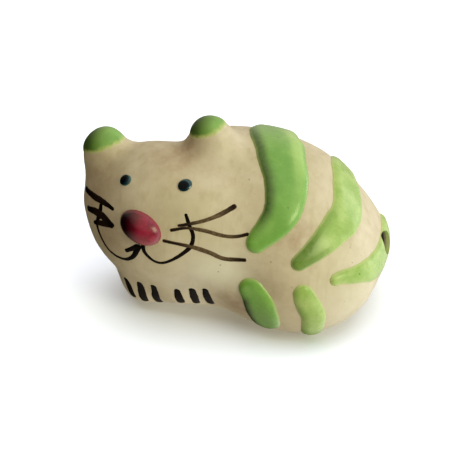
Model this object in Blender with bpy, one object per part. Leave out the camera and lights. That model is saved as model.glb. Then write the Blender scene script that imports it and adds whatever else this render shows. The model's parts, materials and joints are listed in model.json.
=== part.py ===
"""Lying cat bead: glazed ceramic clay, painted with raised enamel.

The cat is modelled from two lumps of clay, a body and a head, which are pressed
together while soft and fired as one.  The body is pierced lengthwise for a cord.
Every other piece is a stroke or a drop of enamel that lies on the clay.

Frame: +X towards the rump, -Y the way the face looks, +Z up.  The origin is on the
table, under the middle of the cat.  Left and right are the cat's own: its left is +X.
All dimensions below are in millimetres and degrees.
"""
import math
from collections import namedtuple

import bmesh
import bpy
import numpy as np

MM = 0.001

# A lump of clay is an ellipsoid: where its middle is, its half sizes, its turn about Z
# and the tip of its +X end upwards.
Lump = namedtuple("Lump", "centre radii turn tip", defaults=(0.0, 0.0))

# ---- body
BARREL = Lump((2.4, 0.65, 6.95), (8.1, 7.1, 6.95), tip=-13.0)
SHOULDERS = Lump((-1.4, 0.4, 7.6), (4.0, 5.0, 5.8))
HAUNCH = Lump((5.6, 0.65, 4.55), (6.05, 5.05, 5.1))
HAUNCH_SPREAD = 1.95       # each haunch's middle, out from the body's own
ELBOW = Lump((-0.7, -1.6, 5.25), (3.85, 3.1, 3.1))
CHEST = Lump((-4.85, -0.15, 2.85), (4.5, 4.2, 3.7))
PAW_RIGHT = Lump((-6.0, -2.35, 2.1), (2.25, 2.9, 1.8))
PAW_LEFT = Lump((-3.2, -2.65, 2.6), (2.4, 2.9, 1.55))
FOOT_EDGE = 1.0            # softness of the edge round the flat foot
BODY_MIDDLE = (-1.7, -0.35, 5.95)
RUMP_MIDDLE = (5.6, 0.65, 5.5)

# ---- tail: a low ridge that curls round the far haunch
TAIL_MIDDLE = (4.0, 0.65)
TAIL_FROM, TAIL_TO = 48.0, 118.0
TAIL_REACH = (7.2, 5.7)
TAIL_RISE = (3.2, 1.5)
TAIL_RADIUS = (1.5, 1.0)

# ---- head
SKULL = Lump((-4.6, -2.5, 8.8), (7.0, 4.65, 5.0), turn=-10.0)
JOWL = Lump((-4.95, -3.1, 6.55), (4.6, 3.6, 3.35))
EAR_RIGHT = Lump((-10.1, -1.3, 12.05), (1.7, 1.55, 2.0), tip=-10.0)
EAR_LEFT = Lump((-1.55, -0.65, 14.1), (1.9, 1.6, 2.1))
HEAD_MIDDLE = (-4.6, -2.0, 8.5)
HEAD_FIT = 0.985           # the head lump's size in its socket, about HEAD_MIDDLE

# ---- stringing hole
HOLE_DIAMETER = 1.6
HOLE_AT_RUMP = (11.5, 2.1, 5.9)
HOLE_AT_CHEST = (-9.2, 1.2, 2.8)

# ---- enamel
ENAMEL_GAP = 0.05          # left open between the enamel and the clay
STRIPE_HEIGHT = 0.25
LINE_HEIGHT = 0.14
CAP_HEIGHT = 0.15
NOSE_HEIGHT = 0.90
EYE_HEIGHT = 0.10
PUPIL_HEIGHT = 0.20
BODY_AXIS = (0.65, 6.9)    # y and z of the line that the stripes turn about

# Each stripe goes through stations of (x, roll, half width).  Roll is measured about
# the body's axis: 0 is the top of the back, 90 the near flank and -90 the far flank.
STRIPES = {
    "back_stripe_shoulder": ((2.8, -66, 0.8), (2.1, -44, 1.5), (2.3, -20, 2.0), (3.3, -4, 2.1),
                             (4.1, 11, 1.95), (4.8, 24, 1.8), (5.15, 36, 1.65), (5.1, 49, 1.45),
                             (4.6, 59, 1.2), (3.9, 67, 0.95), (3.2, 76, 0.65)),
    "back_stripe_middle": ((6.8, -70, 0.6), (7.3, -50, 1.2), (8.1, -26, 1.5), (8.8, -7, 1.65),
                           (9.2, 12, 1.65), (9.25, 34, 1.5), (8.9, 51, 1.3), (8.4, 64, 1.1),
                           (7.8, 73, 0.9), (6.5, 84, 0.55)),
    "thigh_stripe_front": ((3.0, 95, 0.8), (3.5, 103, 1.1), (4.0, 111, 1.35), (4.25, 120, 1.4),
                           (4.5, 134, 1.2)),
    "thigh_stripe_rear": ((7.2, 95, 0.65), (7.6, 104, 0.9), (8.0, 112, 1.0), (8.2, 120, 0.97),
                          (7.9, 135, 0.9), (7.6, 146, 0.75)),
    "far_stripe_front": ((3.2, -92, 0.9), (3.9, -103, 1.1), (4.2, -112, 1.0)),
    "far_stripe_rear": ((7.0, -92, 0.8), (7.7, -101, 0.9), (7.9, -109, 0.8)),
}
DARK_STRIPES = ("back_stripe_shoulder", "thigh_stripe_front", "far_stripe_front")

# The rump's stripe goes round the hole's mouth, through directions from the middle of
# the rump: (turn, lift, half width).  Turn is from the front towards +X, lift upwards.
RUMP_STRIPE = ((33, 6, 0.45), (41, 7.5, 0.55), (49, 6.5, 0.68), (59, 5, 0.82), (75, 1, 1.15),
               (91, -1, 1.3), (107, 2, 1.3), (120, 6, 1.1), (131, 8, 0.7))

# Each face line goes through (turn, lift) directions from the middle of the head, with
# turn towards the cat's left.  They are in the order of painting: a later line runs
# over an earlier one.  Then comes the line's half width.
FACE_LINES = {
    "mouth_left": (((-4, -4), (-2, -8), (4, -14), (12, -16), (20, -12), (32, -4), (34, 2),
                    (35, 12), (33, 26)), 0.22),
    "mouth_right": (((-9, -9), (-12, -14), (-19, -20), (-29, -22), (-41, -19), (-47, -11),
                     (-51, -4), (-53, 13)), 0.22),
    "lip_stroke": (((-20, -13), (-15, -10), (-10, -6)), 0.26),
    "whisker_left_upper": (((25, 18), (37, 19), (50, 21), (62, 23), (67, 25)), 0.2),
    "whisker_left_middle": (((19, 13), (30, 16), (40, 14), (51, 10), (58, 7), (62, 8)), 0.2),
    "whisker_left_lower": (((14, 5), (27, 3), (36, 0), (44, -3), (52, -6), (59, -4)), 0.2),
    "whisker_right_upper": (((-77, 13), (-60, 17), (-49, 18), (-37, 19)), 0.2),
    "whisker_right_middle": (((-68, 4), (-53, 7), (-43, 9), (-35, 9)), 0.2),
    "whisker_right_lower": (((-59, -4), (-44, 2), (-34, 4)), 0.2),
}

# Each claw is a straight line down a paw, from one (x, z) to another on its front.
CLAW_HALF_WIDTH = 0.3
CLAWS = {
    "claw_right_outer": ((-7.4, 3.3), (-6.5, 1.45)),
    "claw_right_middle": ((-6.0, 3.6), (-5.7, 1.3)),
    "claw_right_inner": ((-4.75, 3.6), (-4.6, 1.3)),
    "claw_left_inner": ((-2.9, 3.7), (-2.55, 2.1)),
    "claw_left_middle": ((-1.7, 4.1), (-1.5, 2.1)),
    "claw_left_outer": ((-0.55, 4.3), (-0.4, 2.1)),
}

# A drop of enamel: the point its directions start from, the direction of its middle,
# its half widths as angles from that point, and the tilt of the first one.
Drop = namedtuple("Drop", "origin direction spread tilt")
NOSE = Drop(HEAD_MIDDLE, (-8, 12.5), (19.8, 14.0), -20.0)
EYES = {
    "left": Drop(HEAD_MIDDLE, (36.5, 48), (5.6, 4.8), 25.0),
    "right": Drop(HEAD_MIDDLE, (-38, 44), (5.3, 4.8), 20.0),
}
PUPILS = {
    "left": Drop(HEAD_MIDDLE, (35.5, 48), (4.2, 4.2), 0.0),
    "right": Drop(HEAD_MIDDLE, (-38.7, 44), (4.0, 4.2), 0.0),
}
EAR_CAPS = {
    "left": Drop((-1.55, -0.7, 13.9), (-94, 73), (45.0, 44.0), 0.0),
    "right": Drop((-10.1, -1.3, 11.9), (-104, 71), (51.0, 51.0), 0.0),
}

COLOURS = {
    "cream_glaze": (0.84, 0.78, 0.63, 0.38),
    "green_enamel": (0.47, 0.65, 0.29, 0.22),
    "pale_green_enamel": (0.63, 0.74, 0.42, 0.25),
    "crimson_enamel": (0.42, 0.10, 0.14, 0.15),
    "black_enamel": (0.06, 0.04, 0.03, 0.30),
    "brown_enamel": (0.22, 0.15, 0.09, 0.35),
    "teal_enamel": (0.02, 0.20, 0.22, 0.20),
}


# ---- the clay's surface, from fields that are negative inside, for arrays of points

def turned(points, i, j, degrees):
    """The points seen from axes turned by an angle in the plane of axes i and j."""
    c, s = math.cos(math.radians(degrees)), math.sin(math.radians(degrees))
    out = points.copy()
    out[:, i] = c * points[:, i] + s * points[:, j]
    out[:, j] = -s * points[:, i] + c * points[:, j]
    return out


def lump_field(points, lump, aside=0.0):
    """About the distance from a lump's surface; the lump can be moved aside along Y."""
    local = points - np.array(lump.centre) - np.array((0.0, aside, 0.0))
    local = turned(turned(local, 0, 1, lump.turn), 0, 2, lump.tip)
    radii = np.array(lump.radii)
    k0 = np.linalg.norm(local / radii, axis=1)
    k1 = np.linalg.norm(local / radii ** 2, axis=1)
    return k0 * (k0 - 1.0) / np.maximum(k1, 1e-9)


def blend(a, b, width):
    """The union of two fields, with a fillet of about this width between them."""
    h = np.maximum(width - np.abs(a - b), 0.0) / width
    return np.minimum(a, b) - h * h * width / 4.0


def tail_field(points):
    field = None
    for k in np.linspace(0.0, 1.0, 9):
        angle = math.radians(TAIL_FROM + k * (TAIL_TO - TAIL_FROM))
        reach = TAIL_REACH[0] + k * (TAIL_REACH[1] - TAIL_REACH[0])
        middle = (TAIL_MIDDLE[0] + reach * math.cos(angle),
                  TAIL_MIDDLE[1] + reach * math.sin(angle),
                  TAIL_RISE[0] + k * (TAIL_RISE[1] - TAIL_RISE[0]))
        radius = TAIL_RADIUS[0] + k * (TAIL_RADIUS[1] - TAIL_RADIUS[0])
        ball = np.linalg.norm(points - np.array(middle), axis=1) - radius
        field = ball if field is None else blend(field, ball, 0.8)
    return field


def head_field(points):
    field = blend(lump_field(points, SKULL), lump_field(points, JOWL), 2.5)
    field = blend(field, lump_field(points, EAR_RIGHT), 1.5)
    return blend(field, lump_field(points, EAR_LEFT), 1.6)


def barrel_field(points):
    field = blend(lump_field(points, BARREL), lump_field(points, SHOULDERS), 3.0)
    field = blend(field, lump_field(points, HAUNCH, HAUNCH_SPREAD), 2.0)
    return blend(field, lump_field(points, HAUNCH, -HAUNCH_SPREAD), 2.0)


def chest_field(points):
    field = blend(lump_field(points, CHEST), lump_field(points, PAW_RIGHT), 1.2)
    return blend(field, lump_field(points, PAW_LEFT), 1.2)


def clay_field(points):
    """The whole cat, with its foot pressed flat just below the table."""
    field = blend(chest_field(points), head_field(points), 2.4)
    field = blend(barrel_field(points), field, 1.5)
    field = blend(field, lump_field(points, ELBOW), 2.6)
    field = blend(field, tail_field(points), 0.8)
    return -blend(-field, points[:, 2] + 0.06, FOOT_EDGE)


def head_zone_field(points):
    """The space nearer the head than the rest of the cat, which the head's clay fills."""
    head = head_field(points)
    rest = np.minimum(barrel_field(points), chest_field(points))
    rest = np.minimum(rest, lump_field(points, ELBOW))
    return np.maximum((head - rest) / 2.0, head - 1.6)


def normals_of(field, points):
    step = 1e-3
    slope = np.empty_like(points)
    for axis in range(3):
        shift = np.zeros(3)
        shift[axis] = step
        slope[:, axis] = field(points + shift) - field(points - shift)
    return slope / np.linalg.norm(slope, axis=1)[:, None]


def grown(field, middle, directions):
    """Where rays from a middle point, going these ways, leave the field's inside."""
    reach = np.full(len(directions), 22.0)
    for turn in range(70):
        step = 0.9 if turn < 22 else 0.6
        reach -= step * field(np.array(middle) + directions * reach[:, None])
    return np.array(middle) + directions * reach[:, None]


def settled(points):
    """The nearest points of the clay's surface, and its normals there."""
    for _ in range(6):
        normals = normals_of(clay_field, points)
        points = points - normals * clay_field(points)[:, None]
    return points, normals_of(clay_field, points)


# ---- objects

def clear_scene():
    for obj in list(bpy.data.objects):
        bpy.data.objects.remove(obj, do_unlink=True)


def new_collection(name):
    collection = bpy.data.collections.new(name)
    bpy.context.scene.collection.children.link(collection)
    return collection


def glaze(name):
    """A Principled material, from a colour given as it is seen, in sRGB."""
    material = bpy.data.materials.new(name)
    material.use_nodes = True
    shader = material.node_tree.nodes["Principled BSDF"]
    *seen, roughness = COLOURS[name]
    colour = [c / 12.92 if c <= 0.04045 else ((c + 0.055) / 1.055) ** 2.4 for c in seen]
    shader.inputs["Base Color"].default_value = (*colour, 1.0)
    shader.inputs["Roughness"].default_value = roughness
    shader.inputs["Metallic"].default_value = 0.0
    material.diffuse_color = (*colour, 1.0)
    return material


def object_from(bm, name, collection, material=None):
    mesh = bpy.data.meshes.new(name)
    bm.to_mesh(mesh)
    bm.free()
    mesh.shade_smooth()
    obj = bpy.data.objects.new(name, mesh)
    collection.objects.link(obj)
    if material:
        mesh.materials.append(material)
    return obj


def move_vertices(bm, points):
    for vert, point in zip(bm.verts, points):
        vert.co = point * MM


def ball_directions(bm):
    """Directions through a divided cube's vertices, evenly spread over the sphere."""
    corners = np.array([v.co[:] for v in bm.verts])
    spread = np.tan(corners * math.pi / 4.0)
    return spread / np.linalg.norm(spread, axis=1)[:, None]


def lump_mesh(field, middle, cuts, fine_towards=(), scale=1.0):
    """A divided cube, blown up from a middle point onto a field's surface.

    It is divided once more round the directions of the points in fine_towards, and it
    can be scaled about the middle point.
    """
    bm = bmesh.new()
    bmesh.ops.create_cube(bm, size=2.0)
    bmesh.ops.subdivide_edges(bm, edges=bm.edges[:], cuts=cuts, use_grid_fill=True)
    for target in fine_towards:
        way = np.array(target) - np.array(middle)
        way /= np.linalg.norm(way)
        bm.verts.index_update()
        close = ball_directions(bm) @ way > math.cos(math.radians(15.0))
        edges = [e for e in bm.edges if all(close[v.index] for v in e.verts)]
        bmesh.ops.subdivide_edges(bm, edges=edges, cuts=1, use_grid_fill=True)
    # the same diagonals at every scale, so that one scaled copy nests inside another
    bmesh.ops.triangulate(bm, faces=bm.faces[:], quad_method="FIXED")
    points = grown(field, middle, ball_directions(bm)) - np.array(middle)
    move_vertices(bm, points * scale + np.array(middle))
    return bm


def cut(obj, cutter, operation):
    modifier = obj.modifiers.new(cutter.name, "BOOLEAN")
    modifier.operation = operation
    modifier.solver = "EXACT"
    modifier.object = cutter
    cutter.hide_render = True
    cutter.display_type = "WIRE"


def whole_clay():
    """Both lumps together, with the foot ground flat on the table."""
    ears = (EAR_LEFT.centre, EAR_RIGHT.centre)
    bm = lump_mesh(clay_field, BODY_MIDDLE, cuts=13, fine_towards=ears)
    geometry = bm.verts[:] + bm.edges[:] + bm.faces[:]
    bmesh.ops.bisect_plane(bm, geom=geometry, dist=1e-7, plane_co=(0.0, 0.0, 0.0),
                           plane_no=(0.0, 0.0, -1.0), clear_outer=True)
    rim = [e for e in bm.edges if e.is_boundary]
    bmesh.ops.holes_fill(bm, edges=rim, sides=0)
    bmesh.ops.recalc_face_normals(bm, faces=bm.faces[:])
    return bm


def head_zone(scale):
    return lump_mesh(head_zone_field, HEAD_MIDDLE, cuts=11, scale=scale)


def hole_cutter():
    """A rod from one mouth of the stringing hole to the other, and past both."""
    start, end = np.array(HOLE_AT_CHEST), np.array(HOLE_AT_RUMP)
    way = (end - start) / np.linalg.norm(end - start)
    start, end = start - 3.0 * way, end + 3.0 * way
    side = np.cross(way, (0.0, 0.0, 1.0))
    side /= np.linalg.norm(side)
    top = np.cross(way, side)
    bm = bmesh.new()
    bmesh.ops.create_cone(bm, cap_ends=True, segments=20, radius1=HOLE_DIAMETER / 2.0,
                          radius2=HOLE_DIAMETER / 2.0, depth=2.0)
    for vert in bm.verts:
        middle = start if vert.co.z < 0.0 else end
        vert.co = (middle + side * vert.co.x + top * vert.co.y) * MM
    return bm


# ---- enamel

def way_to(turn, lift):
    t, l = math.radians(turn), math.radians(lift)
    return np.array((math.sin(t) * math.cos(l), -math.cos(t) * math.cos(l), math.sin(l)))


def on_clay(middle, way):
    """The point of the clay's surface met by a ray from a middle point."""
    return grown(clay_field, middle, np.array([way]))[0]


def on_body(x, roll):
    """The point of the clay's surface at x, at a roll about the body's axis."""
    angle = math.radians(roll)
    return on_clay((x, *BODY_AXIS), (0.0, -math.sin(angle), math.cos(angle)))


def route_through(points, fractions):
    """Points by length along a Catmull-Rom curve, its length, and its own points' places."""
    points = np.array(points)
    padded = (2.0 * points[0] - points[1], *points, 2.0 * points[-1] - points[-2])
    samples = []
    for a, b, c, d in zip(padded, padded[1:], padded[2:], padded[3:]):
        for u in np.linspace(0.0, 1.0, 12, endpoint=False):
            samples.append(0.5 * (2 * b + (c - a) * u + (2 * a - 5 * b + 4 * c - d) * u ** 2
                                  + (3 * b - a - 3 * c + d) * u ** 3))
    samples = np.array(samples + [points[-1]])
    steps = np.linalg.norm(np.diff(samples, axis=0), axis=1)
    places = np.concatenate([[0.0], np.cumsum(steps)])
    wanted = np.array(fractions) * places[-1]
    route = np.stack([np.interp(wanted, places, samples[:, k]) for k in range(3)], axis=1)
    return route, places[-1], places[::12] / places[-1]


def stroke(name, points, half_widths, height, material, collection,
           rings=12, around=8, below=()):
    """A brush stroke: a sphere drawn out along its route and laid on the clay.

    The sphere's poles are the stroke's two ends.  Its upper half is the raised top and
    its lower half lies flat.  It is lifted over the routes in below, painted before it.
    """
    bm = bmesh.new()
    bmesh.ops.create_uvsphere(bm, u_segments=around, v_segments=rings, radius=1.0)
    ball = np.array([v.co[:] for v in bm.verts])
    share = np.arccos(np.clip(-ball[:, 2], -1.0, 1.0)) / math.pi
    share = share - 0.07 * np.sin(2.0 * math.pi * share)
    ring = np.maximum(np.linalg.norm(ball[:, :2], axis=1), 1e-6)
    across, lift = ball[:, 0] / ring, ball[:, 1] / ring

    route, length, stations = route_through(points, share)
    ahead = route_through(points, np.minimum(share + 0.01, 1.0))[0]
    behind = route_through(points, np.maximum(share - 0.01, 0.0))[0]
    route, normals = settled(route)
    sides = np.cross(normals, ahead - behind)
    sides /= np.linalg.norm(sides, axis=1)[:, None]

    to_end = np.minimum(share, 1.0 - share) * length
    end_radius = np.where(share < 0.5, half_widths[0], half_widths[-1])
    rounding = np.sqrt(1.0 - np.clip(1.0 - to_end / end_radius, 0.0, 1.0) ** 2)
    width = np.interp(share, stations, half_widths) * rounding
    feet, normals = settled(route + sides * (across * width)[:, None])
    height = height * np.clip(lift, 0.0, 1.0) ** 0.8 * rounding + ENAMEL_GAP
    for line in below:
        apart = np.linalg.norm(route[:, None] - line[None], axis=2).min(axis=1)
        height += (LINE_HEIGHT + ENAMEL_GAP) * np.exp(-(apart / 0.55) ** 6)
    move_vertices(bm, feet + normals * height[:, None])
    return object_from(bm, name, collection, material)


def drop(name, shape, height, material, collection, rings=8, around=12, base=ENAMEL_GAP):
    """A rounded drop: a sphere flattened onto the clay, with its lower half lying flat."""
    bm = bmesh.new()
    bmesh.ops.create_uvsphere(bm, u_segments=around, v_segments=rings, radius=1.0)
    ball = np.array([v.co[:] for v in bm.verts])
    axis = way_to(*shape.direction)
    level = np.cross((0.0, 0.0, 1.0), axis)
    level /= np.linalg.norm(level)
    rise = np.cross(axis, level)
    tilt = math.radians(shape.tilt)
    long_way = level * math.cos(tilt) + rise * math.sin(tilt)
    short_way = rise * math.cos(tilt) - level * math.sin(tilt)
    a = np.radians(ball[:, 0] * shape.spread[0])
    b = np.radians(ball[:, 1] * shape.spread[1])
    away = np.maximum(np.hypot(a, b), 1e-9)
    ways = (np.cos(away)[:, None] * axis + (np.sin(away) * a / away)[:, None] * long_way
            + (np.sin(away) * b / away)[:, None] * short_way)
    feet, normals = settled(grown(clay_field, shape.origin, ways))
    lift = base + height * np.clip(ball[:, 2], 0.0, 1.0) ** 0.9
    move_vertices(bm, feet + normals * lift[:, None])
    return object_from(bm, name, collection, material)


# ---- the cat

def build_clay(cat, cutters, clay):
    torso = object_from(whole_clay(), "clay_torso", cat, clay)
    head = object_from(whole_clay(), "clay_head", cat, clay)
    socket = object_from(head_zone(1.0), "head_socket", cutters)
    zone = object_from(head_zone(HEAD_FIT), "head_zone", cutters)
    hole = object_from(hole_cutter(), "stringing_hole", cutters)
    cut(torso, socket, "DIFFERENCE")
    cut(torso, hole, "DIFFERENCE")
    cut(head, zone, "INTERSECT")
    return hole


def build_stripes(cat, paint, hole):
    for name, stations in STRIPES.items():
        points = [on_body(x, roll) for x, roll, _ in stations]
        widths = [half_width for _, _, half_width in stations]
        material = paint["green_enamel" if name in DARK_STRIPES else "pale_green_enamel"]
        stroke(name, points, widths, STRIPE_HEIGHT, material, cat,
               rings=2 * len(stations) + 2, around=10)
    points = [on_clay(RUMP_MIDDLE, way_to(turn, lift)) for turn, lift, _ in RUMP_STRIPE]
    widths = [half_width for _, _, half_width in RUMP_STRIPE]
    rump = stroke("rump_stripe", points, widths, STRIPE_HEIGHT, paint["pale_green_enamel"],
                  cat, rings=16, around=10)
    cut(rump, hole, "DIFFERENCE")


def build_lines(cat, paint):
    painted = []
    for name, (stations, half_width) in FACE_LINES.items():
        points = [on_clay(HEAD_MIDDLE, way_to(turn, lift)) for turn, lift in stations]
        whisker = name.startswith("whisker")
        material = paint["brown_enamel" if whisker else "black_enamel"]
        stroke(name, points, [half_width] * len(points), LINE_HEIGHT, material, cat,
               rings=16, around=6, below=painted)
        painted.append(route_through(points, np.linspace(0.0, 1.0, 60))[0])
    widths = [CLAW_HALF_WIDTH, CLAW_HALF_WIDTH, 0.7 * CLAW_HALF_WIDTH]
    for name, (top, tip) in CLAWS.items():
        stations = (top, np.mean((top, tip), axis=0), tip)
        points = [on_clay((x, 2.0, z), (0.0, -1.0, 0.0)) for x, z in stations]
        stroke(name, points, widths, LINE_HEIGHT, paint["black_enamel"], cat,
               rings=7, around=6)


def build_drops(cat, paint):
    drop("nose", NOSE, NOSE_HEIGHT, paint["crimson_enamel"], cat, rings=10, around=14)
    for side in ("left", "right"):
        drop("eye_" + side, EYES[side], EYE_HEIGHT, paint["teal_enamel"], cat, rings=6)
        drop("pupil_" + side, PUPILS[side], PUPIL_HEIGHT, paint["black_enamel"], cat,
             rings=6, base=EYE_HEIGHT + 2.0 * ENAMEL_GAP)
        drop("ear_cap_" + side, EAR_CAPS[side], CAP_HEIGHT, paint["green_enamel"], cat,
             rings=12, around=14)


def build():
    clear_scene()
    cat = new_collection("cat_bead")
    cutters = new_collection("cutters")
    paint = {name: glaze(name) for name in COLOURS}
    hole = build_clay(cat, cutters, paint["cream_glaze"])
    build_stripes(cat, paint, hole)
    build_lines(cat, paint)
    build_drops(cat, paint)


build()
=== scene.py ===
import json
import math
from collections import namedtuple

import bmesh
import bpy
import numpy as np
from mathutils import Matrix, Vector


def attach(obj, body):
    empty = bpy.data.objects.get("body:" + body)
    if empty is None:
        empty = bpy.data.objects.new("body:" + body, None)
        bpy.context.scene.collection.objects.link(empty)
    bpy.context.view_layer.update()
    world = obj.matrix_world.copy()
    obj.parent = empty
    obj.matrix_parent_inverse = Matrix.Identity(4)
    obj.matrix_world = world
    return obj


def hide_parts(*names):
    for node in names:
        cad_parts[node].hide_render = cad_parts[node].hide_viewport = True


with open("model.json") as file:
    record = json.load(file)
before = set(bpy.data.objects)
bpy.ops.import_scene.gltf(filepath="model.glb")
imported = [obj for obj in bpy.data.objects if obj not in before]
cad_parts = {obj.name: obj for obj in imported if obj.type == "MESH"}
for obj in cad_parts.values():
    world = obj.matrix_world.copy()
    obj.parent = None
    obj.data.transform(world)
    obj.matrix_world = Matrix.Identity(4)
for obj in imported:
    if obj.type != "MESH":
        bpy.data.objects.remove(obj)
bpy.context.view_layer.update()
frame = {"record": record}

MM = 0.001

# The cat's form, in millimetres and degrees, as in the CAD: +X towards the rump, -Y the
# way the face looks, +Z up, with the origin on the table under the middle of the cat.
Lump = namedtuple("Lump", "centre radii turn tip", defaults=(0.0, 0.0))

BARREL = Lump((2.4, 0.65, 6.95), (8.1, 7.1, 6.95), tip=-13.0)
SHOULDERS = Lump((-1.4, 0.4, 7.6), (4.0, 5.0, 5.8))
HAUNCH = Lump((5.6, 0.65, 4.55), (6.05, 5.05, 5.1))
HAUNCH_SPREAD = 1.95
ELBOW = Lump((-0.7, -1.6, 5.25), (3.85, 3.1, 3.1))
CHEST = Lump((-4.85, -0.15, 2.85), (4.5, 4.2, 3.7))
PAW_RIGHT = Lump((-6.0, -2.35, 2.1), (2.25, 2.9, 1.8))
PAW_LEFT = Lump((-3.2, -2.65, 2.6), (2.4, 2.9, 1.55))
FOOT_EDGE = 1.0
BODY_MIDDLE = (-1.7, -0.35, 5.95)
RUMP_MIDDLE = (5.6, 0.65, 5.5)
BODY_AXIS = (0.65, 6.9)

TAIL_MIDDLE = (4.0, 0.65)
TAIL_FROM, TAIL_TO = 48.0, 118.0
TAIL_REACH = (7.2, 5.7)
TAIL_RISE = (3.2, 1.5)
TAIL_RADIUS = (1.5, 1.0)

SKULL = Lump((-4.6, -2.5, 8.8), (7.0, 4.65, 5.0), turn=-10.0)
JOWL = Lump((-4.95, -3.1, 6.55), (4.6, 3.6, 3.35))
EAR_RIGHT = Lump((-10.1, -1.3, 12.05), (1.7, 1.55, 2.0), tip=-10.0)
EAR_LEFT = Lump((-1.55, -0.65, 14.1), (1.9, 1.6, 2.1))
HEAD_MIDDLE = (-4.6, -2.0, 8.5)

HOLE_DIAMETER = 1.6
HOLE_AT_RUMP = (11.5, 2.1, 5.9)
HOLE_AT_CHEST = (-9.2, 1.2, 2.8)

# Stripes over the body: stations of (x, roll about the body's axis, half width).
STRIPES = {
    "back_stripe_shoulder": ((2.8, -66, 0.8), (2.1, -44, 1.5), (2.3, -20, 2.0), (3.3, -4, 2.1),
                             (4.1, 11, 1.95), (4.8, 24, 1.8), (5.15, 36, 1.65), (5.1, 49, 1.45),
                             (4.6, 59, 1.2), (3.9, 67, 0.95), (3.2, 76, 0.65)),
    "back_stripe_middle": ((6.8, -70, 0.6), (7.3, -50, 1.2), (8.1, -26, 1.5), (8.8, -7, 1.65),
                           (9.2, 12, 1.65), (9.25, 34, 1.5), (8.9, 51, 1.3), (8.4, 64, 1.1),
                           (7.8, 73, 0.9), (6.5, 84, 0.55)),
    "thigh_stripe_front": ((3.0, 95, 0.8), (3.5, 103, 1.1), (4.0, 111, 1.35), (4.25, 120, 1.4),
                           (4.5, 134, 1.2)),
    "thigh_stripe_rear": ((7.2, 95, 0.65), (7.6, 104, 0.9), (8.0, 112, 1.0), (8.2, 120, 0.97),
                          (7.9, 135, 0.9), (7.6, 146, 0.75)),
    "far_stripe_front": ((3.2, -92, 0.9), (3.9, -103, 1.1), (4.2, -112, 1.0)),
    "far_stripe_rear": ((7.0, -92, 0.8), (7.7, -101, 0.9), (7.9, -109, 0.8)),
}
# The rump's stripe: (turn, lift, half width) from the middle of the rump.
RUMP_STRIPE = ((33, 6, 0.45), (41, 7.5, 0.55), (49, 6.5, 0.68), (59, 5, 0.82), (75, 1, 1.15),
               (91, -1, 1.3), (107, 2, 1.3), (120, 6, 1.1), (131, 8, 0.7))

# Face lines: (turn, lift, half width) from the middle of the head, in painting order.
FACE_LINES = {
    "mouth_left": ((-4, -2, 0.24), (-2, -9, 0.17), (5, -15, 0.14), (12, -16, 0.13),
                   (20, -12, 0.14), (28, -5, 0.19), (34, 2, 0.19), (36, 10, 0.16),
                   (34, 18, 0.19), (32, 27, 0.13)),
    "mouth_right": ((-6, -3, 0.26), (-9, -9, 0.24), (-13, -16, 0.20), (-21, -21, 0.15),
                    (-32, -21, 0.13), (-41, -17, 0.13), (-48, -9, 0.16), (-52, -2, 0.20),
                    (-50, 8, 0.26), (-52, 16, 0.20)),
    "lip_stroke": ((-20, -13, 0.17), (-14, -9, 0.22), (-7, -4, 0.26)),
    "whisker_left_upper": ((25, 18, 0.12), (35, 19, 0.15), (45, 20, 0.16), (56, 22, 0.20),
                           (66, 24, 0.21)),
    "whisker_left_middle": ((19, 14, 0.15), (32, 16, 0.13), (44, 13, 0.16), (53, 9, 0.17),
                            (59, 8, 0.14), (64, 9, 0.14)),
    "whisker_left_lower": ((13, 5, 0.13), (26, 3, 0.15), (36, 1, 0.18), (45, -2, 0.19),
                           (52, -5, 0.19), (60, -4, 0.15)),
    "whisker_right_upper": ((-77, 12, 0.22), (-59, 16, 0.27), (-47, 18, 0.24), (-36, 18, 0.14)),
    "whisker_right_middle": ((-67, 3, 0.22), (-52, 7, 0.34), (-42, 7, 0.30), (-32, 5, 0.14)),
    "whisker_right_lower": ((-56, -3, 0.16), (-44, 2, 0.25), (-33, 4, 0.14)),
}

# Claws: from one (x, z) to another on the front of a paw.
CLAWS = {
    "claw_right_outer": ((-7.3, 3.4), (-6.6, 1.5)),
    "claw_right_middle": ((-5.95, 3.6), (-5.7, 1.2)),
    "claw_right_inner": ((-4.7, 3.7), (-4.65, 1.05)),
    "claw_left_inner": ((-2.75, 3.8), (-2.55, 2.05)),
    "claw_left_middle": ((-1.45, 4.25), (-1.4, 2.05)),
    "claw_left_outer": ((-0.35, 4.5), (-0.3, 2.1)),
}
CLAW_WIDTHS = (0.26, 0.35, 0.32)
PAW_INSIDE_Y = 2.0         # where the rays that place the claws start

# Drops: the point their directions start from, the middle direction, half widths as
# angles from that point, and the tilt of the first one.
Drop = namedtuple("Drop", "origin direction spread tilt")
NOSE = Drop(HEAD_MIDDLE, (-7.2, 12.0), (19.3, 13.6), -17.0)
EYES = {
    "left": Drop(HEAD_MIDDLE, (36.5, 48), (5.6, 4.8), 25.0),
    "right": Drop(HEAD_MIDDLE, (-38, 44), (5.3, 4.8), 20.0),
}
PUPILS = {
    "left": Drop(HEAD_MIDDLE, (34.8, 47.2), (4.1, 4.1), 25.0),
    "right": Drop(HEAD_MIDDLE, (-39.3, 43.6), (3.9, 4.3), 0.0),
}
EAR_CAPS = {
    "left": Drop((-1.55, -0.7, 13.9), (-94, 73), (48.0, 48.0), 0.0),
    "right": Drop((-10.1, -1.3, 11.9), (-108, 69), (68.0, 68.0), 0.0),
}

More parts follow.
